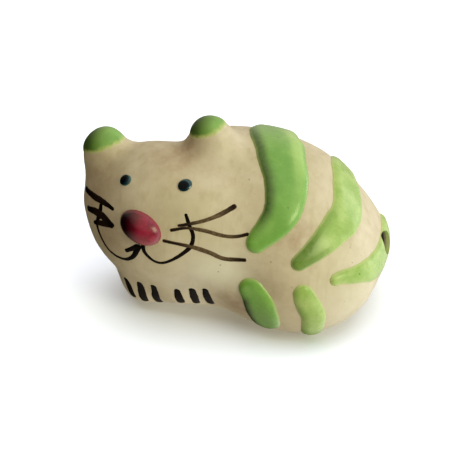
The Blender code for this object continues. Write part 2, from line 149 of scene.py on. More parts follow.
# Enamel heights over the clay, and the rolled shoulder's width at the enamel's rim.
STRIPE_HEIGHT, STRIPE_SHOULDER = 0.28, 0.75
THICK_STRIPES = {"back_stripe_shoulder": 0.34, "thigh_stripe_front": 0.34}
LINE_HEIGHT, LINE_SHOULDER = 0.05, 0.2
CLAW_HEIGHT = 0.07
CAP_HEIGHT, CAP_SHOULDER = 0.18, 1.3
NOSE_HEIGHT = 0.92
EYE_HEIGHT, PUPIL_HEIGHT = 0.12, 0.10
PAINT_LAYER = 0.004        # how much higher each later face line lies
RIM_DEPTH = 0.015          # how deep the enamel's rim sits in the clay
BEDDED = 0.05              # how deep the enamel's underside sits in the clay

CLAY_GRAIN = 0.15   # spacing of the clay's fine mesh
HOLE_FLARE, HOLE_FLARE_DEPTH = 0.14, 0.20

# Darker brown patches on the clay, stains in the glaze and painted shade in its creases: the
# place, how wide, how strong.
STAINS_AND_SHADE = (((-3.0, -2.1, 14.2), 1.1, 0.6), ((-3.8, -2.9, 13.4), 1.7, 0.7),
          ((-9.9, -4.2, 11.0), 2.2, 0.65), ((-7.9, -6.5, 7.9), 1.7, 0.6),
          ((6.2, -4.8, 9.8), 2.0, 0.5), ((4.5, -6.6, 6.6), 1.8, 0.3),
          ((2.2, -5.9, 3.3), 1.5, 0.8), ((-5.7, -1.0, 13.5), 2.0, 0.25))
# Paler patches of painted light, where the chest under the cheek and the low rump lie in shade:
# the place, how wide, how strong.
PAINTED_LIGHT_PATCHES = (((1.6, -6.6, 6.7), 2.0, 0.9), ((-0.3, -6.8, 6.6), 1.6, 0.6),
              ((10.6, -4.1, 4.3), 3.0, 0.4), ((-2.3, -5.5, 4.6), 1.6, 0.6))

# Where a stripe's enamel lies thick and dark, with painted shade along its front edge where it
# turns from the light: how strongly along its front edge, between which shares of its length,
# and how strongly at its lower end, from which share on.
POOLS_AND_SHADE = {
    "back_stripe_shoulder": (0.85, 0.25, 0.97, 0.0, 0.9),
    "back_stripe_middle": (0.35, 0.55, 1.0, 0.9, 0.74),
    "thigh_stripe_front": (1.0, 0.2, 0.95, 0.2, 0.4),
    "thigh_stripe_rear": (0.2, 0.1, 0.9, 0.1, 0.7),
}
NO_POOL_OR_SHADE = (0.0, 0.0, 1.0, 0.0, 0.9)
PAINTED_RIDGE_HIGHLIGHTS = {"back_stripe_shoulder": 0.85}   # how strong the painted highlight is along its rear ridge
NOSE_PAINTED_SHADE = (-4.6, -6.4)                    # painted shade on the nose's left side, from this x to that one
CAPS_SHADE_AND_POOL = (0.9, -1.5)                      # painted shade with thicker enamel on each ear's left side, the same, from each ear's own middle


# ---- the clay's surface

def waves(seed, count, length):
    """Plane waves of about one wavelength, for a soft and even unevenness."""
    rng = np.random.default_rng(seed)
    ways = rng.normal(size=(count, 3))
    ways /= np.linalg.norm(ways, axis=1)[:, None]
    ways *= (2.0 * math.pi / length) * rng.uniform(0.75, 1.3, size=(count, 1))
    return ways, rng.uniform(0.0, 2.0 * math.pi, size=count)


DENTS = ((waves(3, 9, 9.0), 0.055), (waves(5, 11, 4.2), 0.03), (waves(8, 12, 1.9), 0.010))

# Where a finger pushed the clay out or in: the place, how wide, how far out.
PUSHES = (((0.6, -6.7, 6.4), 2.3, 0.32), ((3.7, -6.6, 5.4), 1.9, -0.28))


def unevenness(points):
    """The hand-modelled clay's small departures from its smooth form."""
    total = np.zeros(len(points))
    for (ways, phases), height in DENTS:
        total += height * np.sin(points @ ways.T + phases).sum(axis=1) / math.sqrt(len(phases))
    for place, width, out in PUSHES:
        away = np.linalg.norm(points - np.array(place), axis=1)
        total -= out * np.exp(-(away / width) ** 2)
    return total


def turned(points, i, j, degrees):
    """The points seen from axes turned by an angle in the plane of axes i and j."""
    c, s = math.cos(math.radians(degrees)), math.sin(math.radians(degrees))
    out = points.copy()
    out[:, i] = c * points[:, i] + s * points[:, j]
    out[:, j] = -s * points[:, i] + c * points[:, j]
    return out


def lump_field(points, lump, aside=0.0):
    """About the distance from a lump's surface; the lump can be moved aside along Y."""
    local = points - np.array(lump.centre) - np.array((0.0, aside, 0.0))
    local = turned(turned(local, 0, 1, lump.turn), 0, 2, lump.tip)
    radii = np.array(lump.radii)
    k0 = np.linalg.norm(local / radii, axis=1)
    k1 = np.linalg.norm(local / radii ** 2, axis=1)
    return k0 * (k0 - 1.0) / np.maximum(k1, 1e-9)


def blend(a, b, width):
    """The union of two fields, with a fillet of about this width between them."""
    h = np.maximum(width - np.abs(a - b), 0.0) / width
    return np.minimum(a, b) - h * h * width / 4.0


def tail_field(points):
    field = None
    for k in np.linspace(0.0, 1.0, 9):
        angle = math.radians(TAIL_FROM + k * (TAIL_TO - TAIL_FROM))
        reach = TAIL_REACH[0] + k * (TAIL_REACH[1] - TAIL_REACH[0])
        middle = (TAIL_MIDDLE[0] + reach * math.cos(angle),
                  TAIL_MIDDLE[1] + reach * math.sin(angle),
                  TAIL_RISE[0] + k * (TAIL_RISE[1] - TAIL_RISE[0]))
        radius = TAIL_RADIUS[0] + k * (TAIL_RADIUS[1] - TAIL_RADIUS[0])
        ball = np.linalg.norm(points - np.array(middle), axis=1) - radius
        field = ball if field is None else blend(field, ball, 0.8)
    return field


def head_field(points):
    field = blend(lump_field(points, SKULL), lump_field(points, JOWL), 2.5)
    field = blend(field, lump_field(points, EAR_RIGHT), 1.5)
    return blend(field, lump_field(points, EAR_LEFT), 1.6)


def barrel_field(points):
    field = blend(lump_field(points, BARREL), lump_field(points, SHOULDERS), 3.0)
    field = blend(field, lump_field(points, HAUNCH, HAUNCH_SPREAD), 2.0)
    return blend(field, lump_field(points, HAUNCH, -HAUNCH_SPREAD), 2.0)


def chest_field(points):
    field = blend(lump_field(points, CHEST), lump_field(points, PAW_RIGHT), 1.2)
    return blend(field, lump_field(points, PAW_LEFT), 1.2)


def clay_field(points):
    """The whole cat, uneven as it was left by the hand, with its foot flat on the table."""
    field = blend(chest_field(points), head_field(points), 2.4)
    field = blend(barrel_field(points), field, 1.5)
    field = blend(field, lump_field(points, ELBOW), 2.6)
    field = blend(field, tail_field(points), 0.8) + unevenness(points)
    return -blend(-field, points[:, 2], FOOT_EDGE)


def head_zone_field(points):
    """The space nearer the head than the rest of the cat, which the head's clay fills."""
    head = head_field(points)
    rest = np.minimum(barrel_field(points), chest_field(points))
    rest = np.minimum(rest, lump_field(points, ELBOW))
    return np.maximum((head - rest) / 2.0, head - 1.6)


def patches(points, places):
    """From 0 to 1, how strongly soft round patches (place, width, strength) cover points."""
    bare = np.ones(len(points))
    for place, width, strength in places:
        away = np.linalg.norm(points - np.array(place), axis=1)
        bare *= 1.0 - strength * np.exp(-(away / width) ** 2)
    return 1.0 - bare


def eased(values, low, high):
    """Rises smoothly from 0 at low to 1 at high, which may be the smaller."""
    share = np.clip((values - low) / (high - low), 0.0, 1.0)
    return share * share * (3.0 - 2.0 * share)


def normals_of(field, points):
    step = 1e-3
    slope = np.empty_like(points)
    for axis in range(3):
        shift = np.zeros(3)
        shift[axis] = step
        slope[:, axis] = field(points + shift) - field(points - shift)
    return slope / np.linalg.norm(slope, axis=1)[:, None]


def grown(field, middle, directions):
    """Where rays from a middle point, going these ways, leave the field's inside."""
    reach = np.full(len(directions), 22.0)
    for stride, strides in ((0.9, 22), (0.6, 48)):
        for _ in range(strides):
            reach -= stride * field(np.array(middle) + directions * reach[:, None])
    return np.array(middle) + directions * reach[:, None]


def settled(points, rounds=6):
    """The nearest points of the clay's surface, and its normals there."""
    for _ in range(rounds):
        normals = normals_of(clay_field, points)
        points = points - normals * clay_field(points)[:, None]
    return points, normals_of(clay_field, points)


# ---- meshes

def read_points(mesh):
    flat = np.empty(len(mesh.vertices) * 3, np.float32)
    mesh.vertices.foreach_get("co", flat)
    return flat.reshape(-1, 3).astype(float)


def write_points(mesh, points):
    mesh.vertices.foreach_set("co", np.asarray(points, np.float32).ravel())
    mesh.update()


def add_attribute(mesh, name, values):
    layer = mesh.attributes.new(name, "FLOAT", "POINT")
    layer.data.foreach_set("value", np.asarray(values, np.float32))


def object_from(bm, name):
    mesh = bpy.data.meshes.new(name)
    bm.to_mesh(mesh)
    bm.free()
    mesh.shade_smooth()
    obj = bpy.data.objects.new(name, mesh)
    bpy.context.scene.collection.objects.link(obj)
    return obj


def with_modifier(obj, kind, **settings):
    """Puts the object's mesh through one modifier."""
    modifier = obj.modifiers.new(kind, kind)
    for key, value in settings.items():
        setattr(modifier, key, value)
    depsgraph = bpy.context.evaluated_depsgraph_get()
    mesh = bpy.data.meshes.new_from_object(obj.evaluated_get(depsgraph))
    obj.modifiers.clear()
    old, obj.data = obj.data, mesh
    bpy.data.meshes.remove(old)


def lump_object(name, field, middle, cuts):
    """A divided cube, blown up from a middle point onto a field's surface."""
    bm = bmesh.new()
    bmesh.ops.create_cube(bm, size=2.0)
    bmesh.ops.subdivide_edges(bm, edges=bm.edges[:], cuts=cuts, use_grid_fill=True)
    spread = np.tan(np.array([v.co[:] for v in bm.verts]) * math.pi / 4.0)
    ways = spread / np.linalg.norm(spread, axis=1)[:, None]
    for vert, point in zip(bm.verts, grown(field, middle, ways)):
        vert.co = point
    return object_from(bm, name)


def whole_clay():
    """The cat's skin, evenly meshed and settled onto its exact surface."""
    obj = lump_object("whole_clay", clay_field, BODY_MIDDLE, cuts=44)
    with_modifier(obj, "REMESH", mode="VOXEL", voxel_size=CLAY_GRAIN, use_smooth_shade=True)
    points, _ = settled(read_points(obj.data), rounds=3)
    write_points(obj.data, points)
    with_modifier(obj, "SMOOTH", factor=0.5, iterations=2)
    points, _ = settled(read_points(obj.data), rounds=3)
    points[:, 2] = np.maximum(points[:, 2], 0.0)
    write_points(obj.data, points)
    return obj


def hole_cutter():
    """The cord hole as it is punched: a long rod, flared where it leaves the clay."""
    start, end = np.array(HOLE_AT_CHEST), np.array(HOLE_AT_RUMP)
    length, beyond = np.linalg.norm(end - start), 3.0
    way = (end - start) / length
    side = np.cross(way, (0.0, 0.0, 1.0))
    side /= np.linalg.norm(side)
    top = np.cross(way, side)
    bm = bmesh.new()
    bmesh.ops.create_uvsphere(bm, u_segments=48, v_segments=120, radius=1.0)
    ball = np.array([v.co[:] for v in bm.verts])
    place = np.arccos(np.clip(-ball[:, 2], -1.0, 1.0)) / math.pi
    along = -beyond + place * (length + 2.0 * beyond)
    ring = np.linalg.norm(ball[:, :2], axis=1)
    round_way = ball[:, :2] / np.maximum(ring, 1e-6)[:, None]
    into = np.minimum(along, length - along)
    flare = HOLE_FLARE * np.exp(-np.maximum(into + 0.1, 0.0) / HOLE_FLARE_DEPTH)
    radius = np.where(ring < 1e-4, 0.0, HOLE_DIAMETER / 2.0 + flare)
    points = (start + way * along[:, None] + side * (round_way[:, 0] * radius)[:, None]
              + top * (round_way[:, 1] * radius)[:, None])
    for vert, point in zip(bm.verts, points):
        vert.co = point
    return object_from(bm, "stringing_hole")


def painted_hole_shade(points):
    """From 0 outside to 1 on the cord hole's wall: the mask of the painted shade in the hole.
    """
    start, end = np.array(HOLE_AT_CHEST), np.array(HOLE_AT_RUMP)
    way = (end - start) / np.linalg.norm(end - start)
    from_axis = np.linalg.norm(np.cross(points - start, way), axis=1)
    return eased(from_axis, HOLE_DIAMETER / 2.0 + 0.15, HOLE_DIAMETER / 2.0 + 0.05)


def skin_normals(obj):
    """Shades a piece of the clay with the exact normals of the whole cat's skin.

    The corners of the faces inside, in the hole and at the parting, keep their own.
    """
    mesh = obj.data
    points = read_points(mesh)
    exact = normals_of(clay_field, points)
    on_skin = np.abs(clay_field(points)) < 0.02
    corner_vert = np.empty(len(mesh.loops), np.int32)
    mesh.loops.foreach_get("vertex_index", corner_vert)
    normals = np.empty(len(mesh.loops) * 3, np.float32)
    mesh.corner_normals.foreach_get("vector", normals)
    normals = normals.reshape(-1, 3)
    face_normals = np.empty(len(mesh.polygons) * 3, np.float32)
    mesh.polygons.foreach_get("normal", face_normals)
    face_normals = face_normals.reshape(-1, 3)
    totals = np.empty(len(mesh.polygons), np.int32)
    mesh.polygons.foreach_get("loop_total", totals)
    of_face = np.repeat(face_normals, totals, axis=0)
    mine = exact[corner_vert]
    use = on_skin[corner_vert] & ((of_face * mine).sum(axis=1) > 0.6)
    normals[use] = mine[use]
    mesh.normals_split_custom_set(normals.tolist())


def metres(obj):
    write_points(obj.data, read_points(obj.data) * MM)


def build_clay():
    skin = whole_clay()
    zone = lump_object("head_zone", head_zone_field, HEAD_MIDDLE, cuts=30)
    hole = hole_cutter()
    pieces = {}
    for name, operation in (("clay_head", "INTERSECT"), ("clay_torso", "DIFFERENCE")):
        obj = bpy.data.objects.new(name + "_fired", skin.data.copy())
        bpy.context.scene.collection.objects.link(obj)
        with_modifier(obj, "BOOLEAN", operation=operation, solver="EXACT", object=zone)
        if name == "clay_torso":
            with_modifier(obj, "BOOLEAN", operation="DIFFERENCE", solver="EXACT", object=hole)
        obj.data.shade_smooth()
        obj.data.set_sharp_from_angle(angle=math.radians(50.0))
        skin_normals(obj)
        points = read_points(obj.data)
        add_attribute(obj.data, "stain_and_shade", patches(points, STAINS_AND_SHADE))
        add_attribute(obj.data, "pale", patches(points, PAINTED_LIGHT_PATCHES))
        add_attribute(obj.data, "inside", painted_hole_shade(points))
        pieces[name] = obj
    for obj in (skin, zone):
        bpy.data.objects.remove(obj)
    return pieces, hole


# ---- enamel

def way_to(turn, lift):
    """The direction at a turn about the vertical from straight ahead, and a lift from level."""
    turn, lift = math.radians(turn), math.radians(lift)
    return np.array((math.sin(turn) * math.cos(lift), -math.cos(turn) * math.cos(lift),
                     math.sin(lift)))


def on_clay(middle, way):
    """The point of the clay's surface met by a ray from a middle point."""
    return grown(clay_field, middle, np.array([way]))[0]


def on_body(x, roll):
    """The point of the clay's surface at x, at a roll about the body's axis."""
    angle = math.radians(roll)
    return on_clay((x, *BODY_AXIS), (0.0, -math.sin(angle), math.cos(angle)))


def route_through(points, fractions):
    """Points by length along a Catmull-Rom curve, its length, and its own points' places."""
    points = np.array(points)
    padded = (2.0 * points[0] - points[1], *points, 2.0 * points[-1] - points[-2])
    samples = []
    for a, b, c, d in zip(padded, padded[1:], padded[2:], padded[3:]):
        for u in np.linspace(0.0, 1.0, 12, endpoint=False):
            samples.append(0.5 * (2 * b + (c - a) * u + (2 * a - 5 * b + 4 * c - d) * u ** 2
                                  + (3 * b - a - 3 * c + d) * u ** 3))
    samples = np.array(samples + [points[-1]])
    steps = np.linalg.norm(np.diff(samples, axis=0), axis=1)
    places = np.concatenate([[0.0], np.cumsum(steps)])
    wanted = np.array(fractions) * places[-1]
    route = np.stack([np.interp(wanted, places, samples[:, k]) for k in range(3)], axis=1)
    return route, places[-1], places[::12] / places[-1]


def rolled(depth, shoulder):
    """The share of its full height that enamel has, this far in from its rim."""
    share = np.clip(depth / shoulder, 0.0, 1.0)
    return (1.0 - (1.0 - share) ** 2.2) ** 0.75


def stroke(name, points, half_widths, height, shoulder, around=20, spacing=0.12,
           ragged=0.06, seed=1, lifted=0.0, pool_and_shade=NO_POOL_OR_SHADE, painted_ridge_highlight=0.0):
    """A brush stroke: a sphere drawn out along its route and laid on the clay.

    The sphere's poles are the stroke's ends.  Its upper half is the raised top, rolled
    over at the rim, and its lower half is bedded in the clay.  Its attributes say where the
    enamel lies thick and dark, with painted shade along its front edge, and where a
    highlight is painted along its rear ridge.
    """
    length = route_through(points, (0.0,))[1]
    rings = int(np.clip(length / spacing, 22, 120))
    bm = bmesh.new()
    bmesh.ops.create_uvsphere(bm, u_segments=around, v_segments=rings, radius=1.0)
    ball = np.array([v.co[:] for v in bm.verts])
    share = np.arccos(np.clip(-ball[:, 2], -1.0, 1.0)) / math.pi
    share = share - 0.14 * np.sin(2.0 * math.pi * share)
    ring = np.maximum(np.linalg.norm(ball[:, :2], axis=1), 1e-6)
    across, lift = ball[:, 0] / ring, ball[:, 1] / ring

    route, length, stations = route_through(points, share)
    ahead = route_through(points, np.minimum(share + 0.01, 1.0))[0]
    behind = route_through(points, np.maximum(share - 0.01, 0.0))[0]
    route, normals = settled(route)
    sides = np.cross(normals, ahead - behind)
    sides /= np.linalg.norm(sides, axis=1)[:, None]

    to_end = np.minimum(share, 1.0 - share) * length
    end_radius = np.where(share < 0.5, half_widths[0], half_widths[-1])
    past = np.clip(1.0 - to_end / end_radius, 0.0, 1.0)
    width = np.interp(share, stations, half_widths)
    rng = np.random.default_rng(seed)
    phases = rng.uniform(0.0, 2.0 * math.pi, size=(2, 3))
    place = share * length
    for k, cycle in enumerate((3.1, 1.3, 0.6)):
        swing = np.where(across > 0.0, phases[0, k], phases[1, k])
        uneven = np.sin(2.0 * math.pi * place / cycle + swing)
        width = width * (1.0 + ragged * np.abs(across) * uneven / (k + 1.0))
    inside = width * np.sqrt(1.0 - past ** 2)
    feet, normals = settled(route + sides * (across * inside)[:, None])

    from_rim = np.maximum(width - np.hypot(past * width, across * inside), 0.0)
    top = height * rolled(from_rim, np.minimum(shoulder, width)) + lifted - RIM_DEPTH
    rise = np.where(lift > 1e-4, top, -BEDDED)
    for vert, point in zip(bm.verts, feet + normals * rise[:, None]):
        vert.co = point
    obj = object_from(bm, name + "_fired")
    add_attribute(obj.data, "rim", from_rim)
    add_attribute(obj.data, "along", share)

    edge, start, stop, end, end_start = pool_and_shade
    # the front edge: painted shade where the flank turns from the light, with enamel pooled
    # thick there
    front = (1.0 - eased(from_rim, 0.3, 1.15)) * eased(across, 0.1, -0.3)
    front *= eased(share, start, start + 0.15) * eased(share, stop, stop - 0.15)
    pooled_and_shaded = edge * front + end * eased(share, end_start, end_start + 0.18)
    add_attribute(obj.data, "pooled_and_shaded", np.clip(pooled_and_shaded, 0.0, 1.0))
    # painted highlight: paler enamel along the rear ridge
    ridge = eased(from_rim, 0.15, 0.5) * eased(from_rim, 1.9, 0.9) * eased(across, 0.1, 0.5)
    ridge *= eased(share, 0.05, 0.35) * eased(share, 0.85, 0.5)
    add_attribute(obj.data, "painted_ridge_highlight", painted_ridge_highlight * ridge)
    return obj


def drop(name, shape, height, shoulder, around=56, rings=36, lifted=0.0, power=None):
    """A rounded drop: a sphere flattened onto the clay, with its underside bedded in.

    Its top is domed by a power, or else flat with a rolled shoulder at the rim.
    """
    bm = bmesh.new()
    bmesh.ops.create_uvsphere(bm, u_segments=around, v_segments=rings, radius=1.0)
    ball = np.array([v.co[:] for v in bm.verts])
    axis = way_to(*shape.direction)
    level = np.cross((0.0, 0.0, 1.0), axis)
    level /= np.linalg.norm(level)
    rise = np.cross(axis, level)
    tilt = math.radians(shape.tilt)
    long_way = level * math.cos(tilt) + rise * math.sin(tilt)
    short_way = rise * math.cos(tilt) - level * math.sin(tilt)
    a = np.radians(ball[:, 0] * shape.spread[0])
    b = np.radians(ball[:, 1] * shape.spread[1])
    away = np.maximum(np.hypot(a, b), 1e-9)
    ways = (np.cos(away)[:, None] * axis + (np.sin(away) * a / away)[:, None] * long_way
            + (np.sin(away) * b / away)[:, None] * short_way)
    feet, normals = settled(grown(clay_field, shape.origin, ways))
    middle = feet[np.argmax(ball[:, 2])]
    rim = np.abs(ball[:, 2]) < 0.05
    reach = np.linalg.norm(feet[rim] - middle, axis=1).mean()
    out = np.linalg.norm(ball[:, :2], axis=1)
    from_rim = np.maximum(1.0 - out, 0.0) * reach
    if power:
        top = height * np.clip(1.0 - out ** 2, 0.0, 1.0) ** power
    else:
        top = height * rolled(from_rim, shoulder)
    height_here = np.where(ball[:, 2] > -1e-4, top + lifted - RIM_DEPTH, -BEDDED)
    for vert, point in zip(bm.verts, feet + normals * height_here[:, None]):
        vert.co = point
    obj = object_from(bm, name + "_fired")
    add_attribute(obj.data, "rim", from_rim)
    return obj


def build_stripes(hole):
    pieces = {}
    for seed, (name, stations) in enumerate(STRIPES.items()):
        points = [on_body(x, roll) for x, roll, _ in stations]
        widths = [half_width for _, _, half_width in stations]
        pieces[name] = stroke(name, points, widths, THICK_STRIPES.get(name, STRIPE_HEIGHT),
                              STRIPE_SHOULDER, around=44, ragged=0.012, seed=seed,
                              pool_and_shade=POOLS_AND_SHADE.get(name, NO_POOL_OR_SHADE),
                              painted_ridge_highlight=PAINTED_RIDGE_HIGHLIGHTS.get(name, 0.0))
    points = [on_clay(RUMP_MIDDLE, way_to(turn, lift)) for turn, lift, _ in RUMP_STRIPE]
    widths = [half_width for _, _, half_width in RUMP_STRIPE]
    rump = stroke("rump_stripe", points, widths, STRIPE_HEIGHT, STRIPE_SHOULDER,
                  around=44, ragged=0.012, seed=11)
    with_modifier(rump, "BOOLEAN", operation="DIFFERENCE", solver="EXACT", object=hole)
    rump.data.set_sharp_from_angle(angle=math.radians(60.0))
    add_attribute(rump.data, "inside", painted_hole_shade(read_points(rump.data)))
    pieces["rump_stripe"] = rump
    return pieces


def build_lines():
    pieces = {}
    for seed, (name, stations) in enumerate(FACE_LINES.items()):
        points = [on_clay(HEAD_MIDDLE, way_to(turn, lift)) for turn, lift, _ in stations]
        widths = [half_width for _, _, half_width in stations]
        pieces[name] = stroke(name, points, widths, LINE_HEIGHT, LINE_SHOULDER, around=16,
                              spacing=0.09, ragged=0.07, seed=20 + seed,
                              lifted=PAINT_LAYER * seed)
    for seed, (name, (top, tip)) in enumerate(CLAWS.items()):
        stations = (top, np.mean((top, tip), axis=0), tip)
        points = [on_clay((x, PAW_INSIDE_Y, z), (0.0, -1.0, 0.0)) for x, z in stations]
        pieces[name] = stroke(name, points, CLAW_WIDTHS, CLAW_HEIGHT, LINE_SHOULDER,
                              around=18, spacing=0.06, ragged=0.06, seed=40 + seed)
    return pieces


def build_drops():
    pieces = {"nose": drop("nose", NOSE, NOSE_HEIGHT, 0.0, around=72, rings=56, power=0.62)}
    for side in ("left", "right"):
        pieces["eye_" + side] = drop("eye_" + side, EYES[side], EYE_HEIGHT, 0.3)
        pieces["pupil_" + side] = drop("pupil_" + side, PUPILS[side], PUPIL_HEIGHT, 0.3,
                                       lifted=EYE_HEIGHT)
        cap = drop("ear_cap_" + side, EAR_CAPS[side], CAP_HEIGHT, CAP_SHOULDER,
                   around=72, rings=60)
        # each ear's left side: painted shade with thicker enamel
        x = read_points(cap.data)[:, 0] - EAR_CAPS[side].origin[0]
        add_attribute(cap.data, "pooled_and_shaded", eased(x, *CAPS_SHADE_AND_POOL))
        pieces["ear_cap_" + side] = cap
    # the nose's left side gets painted shade
    x = read_points(pieces["nose"].data)[:, 0]
    add_attribute(pieces["nose"].data, "pooled_and_shaded", eased(x, *NOSE_PAINTED_SHADE))
    return pieces


# ---- materials

def linear(colour):
    """A colour given as it is seen, in sRGB, as Blender wants it."""
    return tuple(c / 12.92 if c <= 0.04045 else ((c + 0.055) / 1.055) ** 2.4
                 for c in colour) + (1.0,)


class Finish:
    """A Principled material whose colour, roughness and bump are built up in layers."""

    def __init__(self, name, **constants):
        self.material = bpy.data.materials.new(name)
        self.material.use_nodes = True
        self.nodes = self.material.node_tree.nodes
        self.links = self.material.node_tree.links
        self.shader = self.nodes["Principled BSDF"]
        for socket, value in constants.items():
            self.shader.inputs[socket.replace("_", " ")].default_value = value
        place = self.nodes.new("ShaderNodeTexCoord").outputs["Object"]
        self.place = self.add("VectorMath", {"operation": "SCALE"},
                              Vector=place, Scale=1.0 / MM).outputs[0]
        self.bumps = None

    def add(self, kind, settings=None, **inputs):
        node = self.nodes.new("ShaderNode" + kind)
        for key, value in (settings or {}).items():
            setattr(node, key, value)
        for key, value in inputs.items():
            socket = node.inputs[int(key[1:]) if key[0] == "_" else key.replace("_", " ")]
            if isinstance(value, bpy.types.NodeSocket):
                self.links.new(value, socket)
            else:
                socket.default_value = value
        return node

    def stretched(self, x, y, z):
        return self.add("VectorMath", {"operation": "MULTIPLY"}, _0=self.place,
                        _1=(x, y, z)).outputs[0]

    def noise(self, size, detail=3.0, roughness=0.5, place=None, offset=0.0):
        """Noise whose grains are about this many millimetres across."""
        place = place or self.place
        if offset:
            place = self.add("VectorMath", {"operation": "ADD"}, _0=place,
                             _1=(offset, offset * 0.7, -offset)).outputs[0]
        return self.add("TexNoise", None, Vector=place, Scale=1.0 / size, Detail=detail,
                        Roughness=roughness).outputs["Fac"]

    def math(self, operation, a, b=0.0):
        return self.add("Math", {"operation": operation}, _0=a, _1=b).outputs[0]

    def specks(self, spacing, rarity, size):
        """Small round dots, of which only those over the rarity show, up to this size."""
        cells = self.add("TexVoronoi", {"feature": "F1"}, Vector=self.place,
                         Scale=1.0 / spacing)
        reach = self.ramp(cells.outputs["Color"], rarity, 1.0, 0.0, size, smooth=False)
        return self.math("LESS_THAN", cells.outputs["Distance"], reach)

    def ramp(self, value, low, high, to_low=0.0, to_high=1.0, smooth=True):
        kind = "SMOOTHSTEP" if smooth else "LINEAR"
        return self.add("MapRange", {"interpolation_type": kind}, _0=value, _1=low, _2=high,
                        _3=to_low, _4=to_high).outputs[0]

    def mix(self, share, a, b, kind="MIX"):
        node = self.add("Mix", {"data_type": "RGBA", "blend_type": kind}, _0=share)
        for place, value in ((6, a), (7, b)):
            if isinstance(value, bpy.types.NodeSocket):
                self.links.new(value, node.inputs[place])
            else:
                node.inputs[place].default_value = linear(value)
        return node.outputs[2]

    def attribute(self, name):
        return self.add("Attribute", {"attribute_name": name}).outputs["Fac"]

    def bump(self, height, distance, strength=1.0):
        """Adds relief this many millimetres deep."""
        inputs = {"Height": height, "Distance": distance * MM, "Strength": strength}
        if self.bumps:
            inputs["Normal"] = self.bumps
        self.bumps = self.add("Bump", None, **inputs).outputs[0]

    def done(self, colour, roughness=None, coat_normal=False):
        self.links.new(colour, self.shader.inputs["Base Color"])
        if roughness is not None:
            self.links.new(roughness, self.shader.inputs["Roughness"])
        if self.bumps:
            self.links.new(self.bumps, self.shader.inputs["Normal"])
            if coat_normal:
                self.links.new(self.bumps, self.shader.inputs["Coat Normal"])
        return self.material


def clay_colour(f, whole=False):
    """The fired clay under its thin cream glaze, mottled, streaked and speckled."""
    colour = f.mix(f.ramp(f.noise(5.5, 3.0), 0.35, 0.68), (0.86, 0.81, 0.69),
                   (0.81, 0.76, 0.62))
    colour = f.mix(f.ramp(f.noise(2.1, 4.0, 0.6, offset=7.0), 0.48, 0.72, 0.0, 0.35), colour,
                   (0.83, 0.755, 0.64))
    cloudy = f.noise(0.85, 3.0, 0.6, offset=3.0)
    colour = f.mix(f.ramp(cloudy, 0.35, 0.7, 0.0, 0.22), colour, (0.70, 0.63, 0.48))
    streaks = f.noise(0.55, 2.0, 0.5, place=f.stretched(1.0, 0.6, 0.13), offset=11.0)
    colour = f.mix(f.ramp(streaks, 0.52, 0.75, 0.0, 0.30), colour, (0.70, 0.63, 0.45))
    if whole:
        # painted light: paler cream on the shaded chest under the cheek and on the low rump
        colour = f.mix(f.attribute("pale"), colour, (0.92, 0.90, 0.80))
        # brown patches: stains together with painted shade in the creases at the ears, brow,
        # arm and belly
        share = f.math("MULTIPLY", f.attribute("stain_and_shade"), f.ramp(cloudy, 0.2, 0.7, 0.6, 1.1))
        colour = f.mix(share, colour, (0.66, 0.55, 0.42))
    specks = f.math("MULTIPLY", f.specks(0.62, 0.55, 0.17), 0.42)
    colour = f.mix(specks, colour, (0.40, 0.31, 0.22))
    if whole:
        # painted shade: the glaze turns dark down the cord hole's wall
        colour = f.mix(f.attribute("inside"), colour, (0.16, 0.12, 0.09))
    return colour, cloudy


def clay_relief(f):
    f.bump(f.noise(0.9, 2.0, offset=5.0), 0.030, 0.6)
    f.bump(f.noise(0.22, 3.0, 0.6, offset=9.0), 0.010, 0.7)


def cream_glaze():
    f = Finish("cream_glaze_fired", IOR=1.5, Coat_Weight=0.10, Coat_Roughness=0.35)
    colour, cloudy = clay_colour(f, whole=True)
    clay_relief(f)
    return f.done(colour, f.ramp(cloudy, 0.3, 0.7, 0.50, 0.62))


def green_enamel(name, dark, mid, light, pool_and_shade, mottle, fringe, coat=0.15):
    """Mottled green, dark where it lies thick, with painted shade along its front edge and in
    the cord hole, a painted highlight along its ridge, and pale where it is thin.
    """
    f = Finish(name, IOR=1.45, Specular_IOR_Level=0.4, Coat_Weight=coat, Coat_Roughness=0.22)
    rim = f.attribute("rim")
    body = f.noise(1.5, 3.0, 0.55, offset=2.0)
    colour = f.mix(f.ramp(body, 0.34, 0.66), mid, light)
    fine = f.noise(0.42, 4.0, 0.65, offset=4.0)
    colour = f.mix(f.ramp(fine, 0.5, 0.78, 0.0, mottle), colour, dark)
    # darker green where the enamel pools, and painted shade along the stripe's front edge
    colour = f.mix(f.math("MULTIPLY", f.attribute("pooled_and_shaded"), f.ramp(fine, 0.3, 0.7, 1.0, 0.8)),
                   colour, pool_and_shade)
    # painted highlight: paler green along the rear ridge
    painted_ridge_highlight = f.math("MULTIPLY", f.attribute("painted_ridge_highlight"), f.ramp(fine, 0.3, 0.7, 1.0, 0.75))
    colour = f.mix(painted_ridge_highlight, colour, (0.72, 0.86, 0.48))
    thin = f.math("ADD", rim, f.ramp(fine, 0.3, 0.7, -0.03, 0.03, smooth=False))
    colour = f.mix(f.ramp(thin, 0.02, 0.22, 0.7, 0.0), colour, fringe)
    specks = f.math("MULTIPLY", f.specks(0.8, 0.62, 0.15), 0.5)
    colour = f.mix(specks, colour, (0.25, 0.30, 0.10))
    # painted shade: the enamel turns dark down the cord hole's wall
    colour = f.mix(f.attribute("inside"), colour, (0.16, 0.15, 0.08))
    f.bump(body, 0.04, 0.5)
    f.bump(fine, 0.012, 0.5)
    return f.done(colour, f.ramp(fine, 0.3, 0.7, 0.24, 0.36), coat_normal=True)


